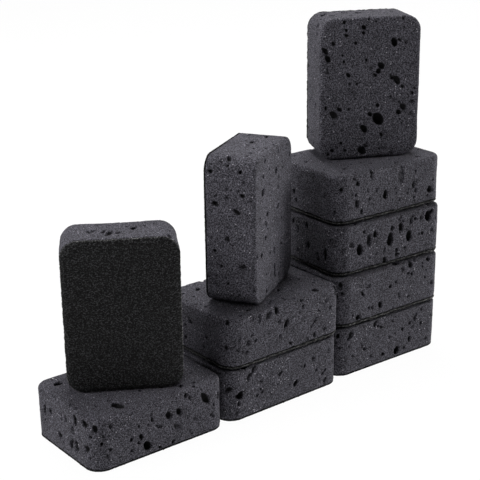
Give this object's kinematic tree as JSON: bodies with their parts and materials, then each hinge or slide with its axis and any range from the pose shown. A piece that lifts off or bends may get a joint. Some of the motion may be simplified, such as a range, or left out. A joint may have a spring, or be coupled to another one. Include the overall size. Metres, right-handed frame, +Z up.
{
  "type": "scouring sponge set",
  "caption": "Set of charcoal-grey foam scouring sponges with black scour pads, stacked flat in steps beside each other, the top sponge of each stack standing on end.",
  "frame": {"origin": "centre of the set's footprint, on the surface it stands on", "axes": "+X along the row of stacks from the lowest to the tallest, +Y from the stacks' long front sides to their backs, +Z up"},
  "size_m": [0.3138, 0.0888, 0.2424],
  "materials": {
    "foam": "matte",
    "scour_pad": "matte",
    "adhesive_film": "satin"
  },
  "bodies": {
    "middle_base": {"middle_base_pad": "scour_pad", "middle_base_film": "adhesive_film", "middle_base_foam": "foam"},
    "middle_second": {"middle_second_pad": "scour_pad", "middle_second_film": "adhesive_film", "middle_second_foam": "foam"},
    "middle_top": {"middle_top_pad": "scour_pad", "middle_top_film": "adhesive_film", "middle_top_foam": "foam"},
    "low_base": {"low_base_pad": "scour_pad", "low_base_film": "adhesive_film", "low_base_foam": "foam"},
    "low_top": {"low_top_pad": "scour_pad", "low_top_film": "adhesive_film", "low_top_foam": "foam"},
    "tall_base": {"tall_base_pad": "scour_pad", "tall_base_film": "adhesive_film", "tall_base_foam": "foam"},
    "tall_second": {"tall_second_pad": "scour_pad", "tall_second_film": "adhesive_film", "tall_second_foam": "foam"},
    "tall_third": {"tall_third_pad": "scour_pad", "tall_third_film": "adhesive_film", "tall_third_foam": "foam"},
    "tall_fourth": {"tall_fourth_pad": "scour_pad", "tall_fourth_film": "adhesive_film", "tall_fourth_foam": "foam"},
    "tall_top": {"tall_top_pad": "scour_pad", "tall_top_film": "adhesive_film", "tall_top_foam": "foam"}
  },
  "joints": [
    {"name": "middle_second_lift", "type": "slide", "parent": "middle_base", "child": "middle_second", "axis": [0, 0, 1], "range_m": [0, 0.1]},
    {"name": "middle_top_lift", "type": "slide", "parent": "middle_second", "child": "middle_top", "axis": [0, 0, 1], "range_m": [0, 0.1]},
    {"name": "low_base_slide", "type": "slide", "parent": "middle_base", "child": "low_base", "axis": [-1, 0, 0], "range_m": [0, 0.1]},
    {"name": "low_top_lift", "type": "slide", "parent": "low_base", "child": "low_top", "axis": [0, 0, 1], "range_m": [0, 0.1]},
    {"name": "tall_base_slide", "type": "slide", "parent": "middle_base", "child": "tall_base", "axis": [1, 0, 0], "range_m": [0, 0.1]},
    {"name": "tall_second_lift", "type": "slide", "parent": "tall_base", "child": "tall_second", "axis": [0, 0, 1], "range_m": [0, 0.1]},
    {"name": "tall_third_lift", "type": "slide", "parent": "tall_second", "child": "tall_third", "axis": [0, 0, 1], "range_m": [0, 0.1]},
    {"name": "tall_fourth_lift", "type": "slide", "parent": "tall_third", "child": "tall_fourth", "axis": [0, 0, 1], "range_m": [0, 0.1]},
    {"name": "tall_top_lift", "type": "slide", "parent": "tall_fourth", "child": "tall_top", "axis": [0, 0, 1], "range_m": [0, 0.1]}
  ]
}
